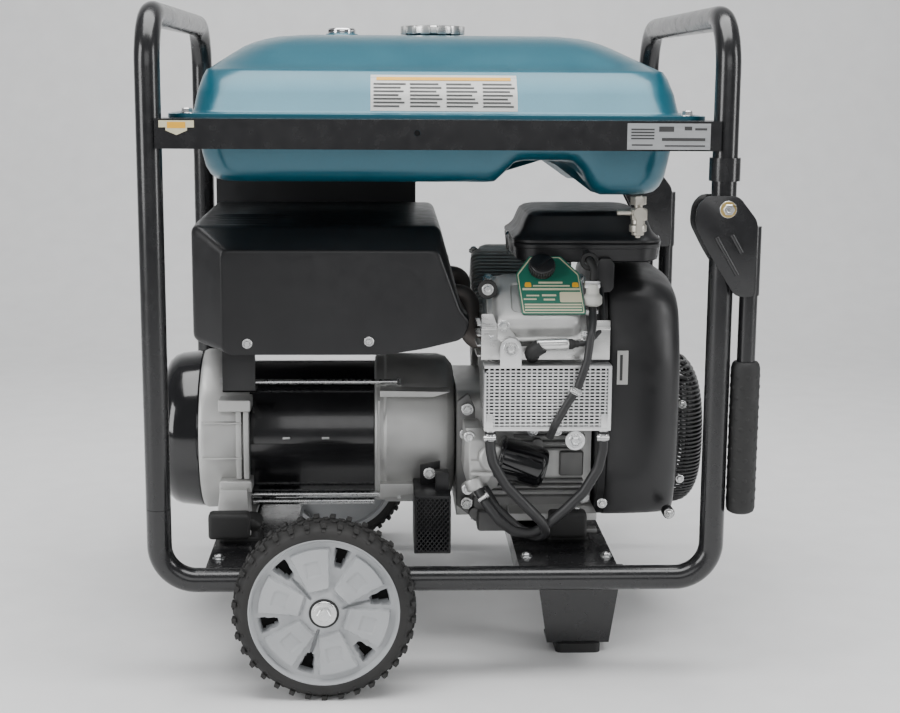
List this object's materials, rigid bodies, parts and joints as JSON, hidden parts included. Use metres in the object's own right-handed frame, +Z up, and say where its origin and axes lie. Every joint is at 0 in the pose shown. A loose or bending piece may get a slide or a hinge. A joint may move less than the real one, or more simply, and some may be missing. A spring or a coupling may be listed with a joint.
{
  "type": "portable generator",
  "caption": "Open-frame portable generator: tube frame, pressed fuel tank, V-twin engine, end-mounted alternator, two transport wheels and fold-out handles.",
  "frame": {"origin": "centre of the footprint on the ground, under the middle of the overall box", "axes": "+X from the alternator end to the fan and handle end, -Y the side with the oil cooler, +Z up"},
  "size_m": [0.8544, 0.824, 0.935],
  "materials": {
    "end_hoop_left": "black powder coat",
    "end_hoop_right": "black powder coat",
    "bottom_rail_near": "black powder coat",
    "bottom_rail_far": "black powder coat",
    "tank_rail_near": "black powder coat",
    "tank_rail_far": "black powder coat",
    "cross_member_left": "black powder coat",
    "cross_member_right": "black powder coat",
    "support_legs": "black powder coat",
    "rubber_feet": "matt",
    "vibration_mounts": "matt",
    "wheel_brackets": "black powder coat",
    "axle_shafts": "zinc plated",
    "axle_nuts": "zinc plated",
    "handle_sleeves": "black powder coat",
    "handle_pivot_bolts": "zinc plated",
    "wheel_rim_near": "moulded grey",
    "wheel_tyre_near": "matt",
    "wheel_rim_far": "moulded grey",
    "wheel_tyre_far": "matt",
    "handle_near": "black powder coat",
    "handle_grip_near": "moulded",
    "handle_far": "black powder coat",
    "handle_grip_far": "moulded",
    "tank_upper_shell": "teal metallic gloss",
    "tank_lower_shell": "teal metallic gloss",
    "tank_bolts": "plated",
    "fuel_cap": "satin plated",
    "fuel_gauge": "plated ring",
    "fuel_tap": "cast",
    "fuel_tap_lever": "cast",
    "alternator_end_cover": "glossy black",
    "alternator_rear_bracket": "cast",
    "alternator_stator": "black enamel over laminations",
    "alternator_front_bracket": "cast",
    "alternator_rods": "zinc plated",
    "alternator_rotor": "machined and varnished",
    "crankcase": "cast",
    "crankshaft": "ground",
    "cylinder_near": "cast, finned",
    "cylinder_far": "cast, finned",
    "rocker_covers": "cast",
    "oil_filler_cap": "moulded",
    "oil_cooler": "brazed",
    "oil_filter": "black enamel",
    "oil_hoses": "smooth",
    "blower_housing": "satin black",
    "fan_guard": "satin black",
    "cooling_fan": "cast",
    "air_cleaner_base": "satin black",
    "air_cleaner_lid": "satin black",
    "carburettor": "cast",
    "starter_motor": "black enamel",
    "muffler": "heat dulled steel",
    "muffler_shield": "satin black",
    "air_outlet_guard": "satin black",
    "control_box": "satin black",
    "outlet_sockets": "moulded",
    "ignition_key": "plated",
    "breaker_switch": "moulded"
  },
  "bodies": {
    "main_frame": {"end_hoop_left": "end_hoop_left", "end_hoop_right": "end_hoop_right", "bottom_rail_near": "bottom_rail_near", "bottom_rail_far": "bottom_rail_far", "tank_rail_near": "tank_rail_near", "tank_rail_far": "tank_rail_far", "cross_member_left": "cross_member_left", "cross_member_right": "cross_member_right", "support_legs": "support_legs", "rubber_feet": "rubber_feet", "vibration_mounts": "vibration_mounts", "wheel_brackets": "wheel_brackets", "axle_shafts": "axle_shafts", "axle_nuts": "axle_nuts", "handle_sleeves": "handle_sleeves", "handle_pivot_bolts": "handle_pivot_bolts", "tank_upper_shell": "tank_upper_shell", "tank_lower_shell": "tank_lower_shell", "tank_bolts": "tank_bolts", "fuel_gauge": "fuel_gauge", "fuel_tap": "fuel_tap", "alternator_end_cover": "alternator_end_cover", "alternator_rear_bracket": "alternator_rear_bracket", "alternator_stator": "alternator_stator", "alternator_front_bracket": "alternator_front_bracket", "alternator_rods": "alternator_rods", "crankcase": "crankcase", "cylinder_near": "cylinder_near", "cylinder_far": "cylinder_far", "rocker_covers": "rocker_covers", "oil_cooler": "oil_cooler", "oil_filter": "oil_filter", "oil_hoses": "oil_hoses", "blower_housing": "blower_housing", "fan_guard": "fan_guard", "air_cleaner_base": "air_cleaner_base", "carburettor": "carburettor", "starter_motor": "starter_motor", "muffler": "muffler", "muffler_shield": "muffler_shield", "air_outlet_guard": "air_outlet_guard", "control_box": "control_box", "outlet_sockets": "outlet_sockets"},
    "rotating_assembly": {"crankshaft": "crankshaft", "cooling_fan": "cooling_fan", "alternator_rotor": "alternator_rotor"},
    "near_wheel": {"wheel_rim_near": "wheel_rim_near", "wheel_tyre_near": "wheel_tyre_near"},
    "far_wheel": {"wheel_rim_far": "wheel_rim_far", "wheel_tyre_far": "wheel_tyre_far"},
    "near_handle": {"handle_near": "handle_near", "handle_grip_near": "handle_grip_near"},
    "far_handle": {"handle_far": "handle_far", "handle_grip_far": "handle_grip_far"},
    "tank_cap": {"fuel_cap": "fuel_cap"},
    "tap_lever": {"fuel_tap_lever": "fuel_tap_lever"},
    "filler_cap": {"oil_filler_cap": "oil_filler_cap"},
    "key": {"ignition_key": "ignition_key"},
    "breaker": {"breaker_switch": "breaker_switch"},
    "cleaner_lid": {"air_cleaner_lid": "air_cleaner_lid"}
  },
  "joints": [
    {"name": "engine_turns", "type": "hinge", "parent": "main_frame", "child": "rotating_assembly", "pos_m": [0.08425, 0, 0.292], "axis": [1, 0, 0], "continuous": true},
    {"name": "near_wheel_turns", "type": "hinge", "parent": "main_frame", "child": "near_wheel", "pos_m": [-0.17075, -0.373, 0.125], "axis": [0, 1, 0], "continuous": true},
    {"name": "far_wheel_turns", "type": "hinge", "parent": "main_frame", "child": "far_wheel", "pos_m": [-0.17075, 0.373, 0.125], "axis": [0, 1, 0], "continuous": true},
    {"name": "near_handle_folds_out", "type": "hinge", "parent": "main_frame", "child": "near_handle", "pos_m": [0.37065, -0.32, 0.665], "axis": [0, -1, 0], "range_deg": [0, 90]},
    {"name": "far_handle_folds_out", "type": "hinge", "parent": "main_frame", "child": "far_handle", "pos_m": [0.37065, 0.32, 0.665], "axis": [0, -1, 0], "range_deg": [0, 90]},
    {"name": "fuel_cap_turns", "type": "hinge", "parent": "main_frame", "child": "tank_cap", "pos_m": [-0.01575, 0, 0.905], "axis": [0, 0, 1], "range_deg": [0, 120]},
    {"name": "oil_cap_turns", "type": "hinge", "parent": "main_frame", "child": "filler_cap", "pos_m": [0.13325, -0.21807, 0.56664], "axis": [0, -0.7071, 0.7071], "range_deg": [0, 360]},
    {"name": "fuel_tap_turns", "type": "hinge", "parent": "main_frame", "child": "tap_lever", "pos_m": [0.27125, -0.215, 0.649], "axis": [0, 1, 0], "range_deg": [0, 90]},
    {"name": "key_turns", "type": "hinge", "parent": "main_frame", "child": "key", "pos_m": [-0.33375, 0.322, 0.64], "axis": [0, -1, 0], "range_deg": [0, 90]},
    {"name": "breaker_rocks", "type": "hinge", "parent": "main_frame", "child": "breaker", "pos_m": [-0.21575, 0.314, 0.64], "axis": [1, 0, 0], "range_deg": [0, 40]},
    {"name": "air_cleaner_lid_lifts_off", "type": "slide", "parent": "main_frame", "child": "cleaner_lid", "axis": [0, 0, 1], "range_m": [0, 0.025]}
  ]
}
